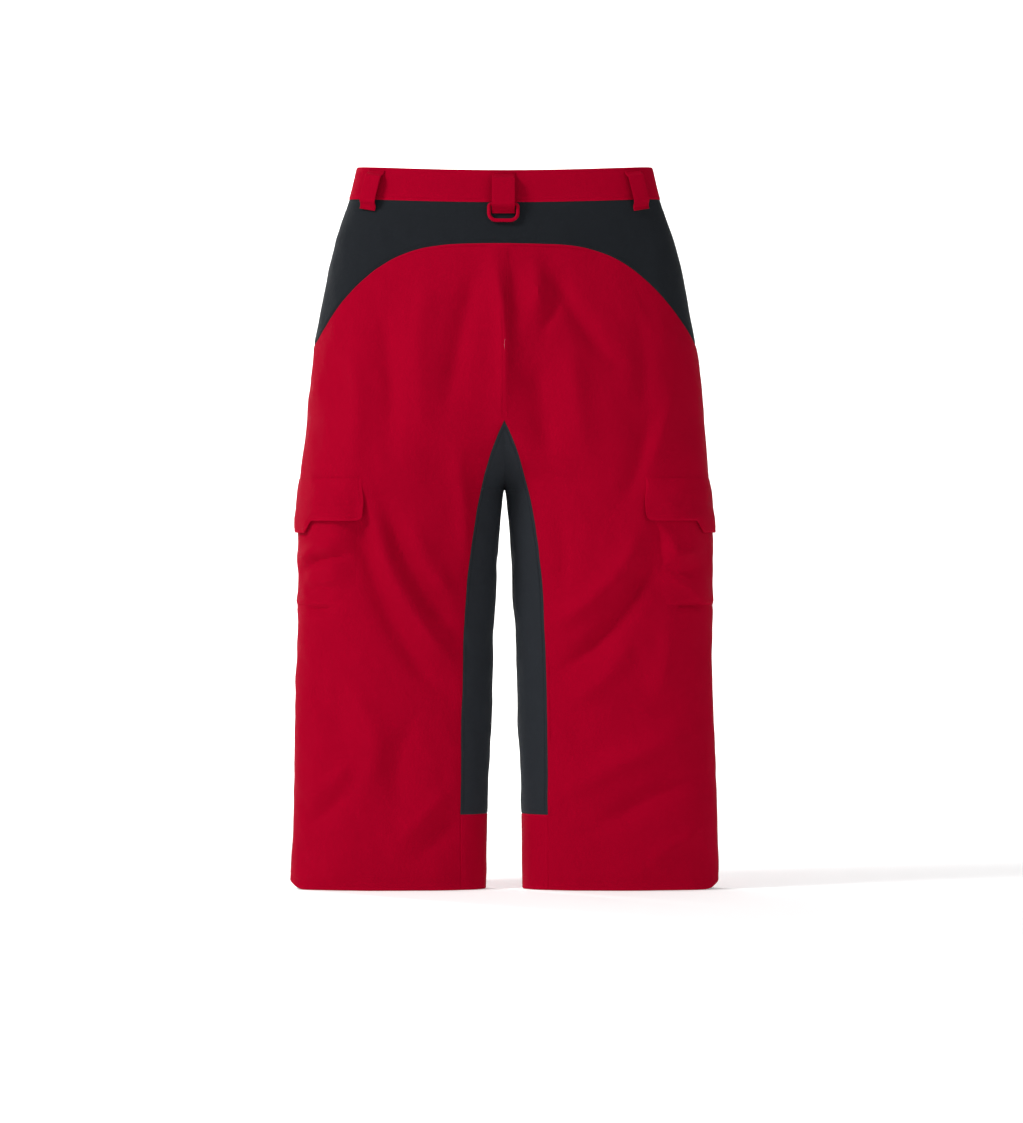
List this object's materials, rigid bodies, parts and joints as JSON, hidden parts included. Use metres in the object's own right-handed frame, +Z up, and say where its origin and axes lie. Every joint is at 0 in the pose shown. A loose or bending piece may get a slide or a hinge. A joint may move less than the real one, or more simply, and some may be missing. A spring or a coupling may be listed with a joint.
{
  "type": "ski pants",
  "caption": "Padded ski trousers in red with a black back yoke and inner legs, cargo pockets, belt loops, a ring, zips and snow gaiters.",
  "frame": {"origin": "centre of the waist opening, at the height of the waist edge at the side seams", "axes": "+X to the wearer's right, +Y to the wearer's front, +Z up, so the back faces -Y"},
  "size_m": [0.5994, 0.1809, 1.0082],
  "materials": {
    "red_shell": "matte",
    "red_webbing": "matte",
    "red_plastic": "satin",
    "black_shell": "matte",
    "black_lining": "satin",
    "black_tape": "matte",
    "black_coil": "satin",
    "hook_and_loop": "matte",
    "gaiter_fabric": "matte",
    "elastic": "matte",
    "zip_metal": "satin",
    "snap_metal": "satin"
  },
  "bodies": {
    "pants": {"waistband_back": "red_shell", "waistband_front_l": "red_shell", "waistband_front_r": "red_shell", "waistband_facing": "black_lining", "belt_loop_centre": "red_webbing", "belt_loop_back_l": "red_webbing", "belt_loop_back_r": "red_webbing", "belt_loop_front_l": "red_webbing", "belt_loop_front_r": "red_webbing", "ring_keeper": "red_webbing", "back_yoke": "black_shell", "hip_panel_l": "black_shell", "hip_panel_r": "black_shell", "back_panel_l": "red_shell", "back_panel_r": "red_shell", "front_panel_l": "red_shell", "front_panel_r": "red_shell", "inner_gusset_l": "black_shell", "inner_gusset_r": "black_shell", "hem_patch_l": "red_shell", "hem_patch_r": "red_shell", "lining_l": "black_lining", "lining_r": "black_lining", "cargo_pocket_l": "red_shell", "cargo_pocket_r": "red_shell", "flap_root_l": "red_shell", "flap_root_r": "red_shell", "pocket_tape_l": "hook_and_loop", "pocket_tape_r": "hook_and_loop", "fly_zip_tapes": "black_tape", "fly_zip_coil": "black_coil", "fly_zip_stops": "zip_metal", "fly_shield": "black_lining", "waist_tab_root": "red_shell", "snap_studs": "zip_metal", "hand_zip_l": "black_tape", "hand_zip_r": "black_tape", "hand_pocket_bag_l": "black_lining", "hand_pocket_bag_r": "black_lining", "gaiter_l": "gaiter_fabric", "gaiter_r": "gaiter_fabric", "gaiter_elastic_l": "elastic", "gaiter_elastic_r": "elastic", "lace_hook_l": "zip_metal", "lace_hook_r": "zip_metal"},
    "flap_l": {"cargo_flap_l": "red_shell", "flap_tape_l": "hook_and_loop"},
    "flap_r": {"cargo_flap_r": "red_shell", "flap_tape_r": "hook_and_loop"},
    "ring": {"d_ring": "red_plastic"},
    "fly_slider_body": {"fly_slider": "zip_metal"},
    "fly_pull_body": {"fly_pull": "red_plastic"},
    "hand_slider_l_body": {"hand_slider_l": "zip_metal"},
    "hand_slider_r_body": {"hand_slider_r": "zip_metal"},
    "hand_pull_l_body": {"hand_pull_l": "red_plastic"},
    "hand_pull_r_body": {"hand_pull_r": "red_plastic"},
    "tab": {"waist_tab": "red_shell", "snap_caps": "snap_metal"}
  },
  "joints": [
    {"name": "ring_swing", "type": "hinge", "parent": "pants", "child": "ring", "pos_m": [-0.0015, -0.06677, -0.05607], "axis": [-1, 0, 0], "range_deg": [0, 140]},
    {"name": "flap_r_lift", "type": "hinge", "parent": "pants", "child": "flap_r", "pos_m": [0.24832, -0.11844, -0.44001], "axis": [-0.3784, -0.9256, 0], "range_deg": [0, 110]},
    {"name": "flap_l_lift", "type": "hinge", "parent": "pants", "child": "flap_l", "pos_m": [-0.24832, -0.11844, -0.44001], "axis": [-0.3784, 0.9256, 0], "range_deg": [0, 110]},
    {"name": "fly_zip", "type": "slide", "parent": "pants", "child": "fly_slider_body", "axis": [0, 0.0908, -0.9959], "range_m": [0, 0.15]},
    {"name": "fly_pull_swing", "type": "hinge", "parent": "fly_slider_body", "child": "fly_pull_body", "pos_m": [0, 0.06506, -0.07264], "axis": [1, 0, 0], "range_deg": [0, 150]},
    {"name": "hand_zip_r", "type": "slide", "parent": "pants", "child": "hand_slider_r_body", "axis": [0.3407, 0.0322, -0.9396], "range_m": [0, 0.15]},
    {"name": "hand_zip_l", "type": "slide", "parent": "pants", "child": "hand_slider_l_body", "axis": [-0.3407, 0.0322, -0.9396], "range_m": [0, 0.15]},
    {"name": "hand_pull_r_swing", "type": "hinge", "parent": "hand_slider_r_body", "child": "hand_pull_r_body", "pos_m": [0.12355, 0.06105, -0.0685], "axis": [0.9216, -0.2092, 0.327], "range_deg": [0, 150]},
    {"name": "hand_pull_l_swing", "type": "hinge", "parent": "hand_slider_l_body", "child": "hand_pull_l_body", "pos_m": [-0.12355, 0.06105, -0.0685], "axis": [0.9216, 0.2092, -0.327], "range_deg": [0, 150]},
    {"name": "tab_open", "type": "hinge", "parent": "pants", "child": "tab", "pos_m": [0.022, 0.06608, -0.05394], "axis": [0, 0.0896, -0.996], "range_deg": [0, 150]}
  ]
}
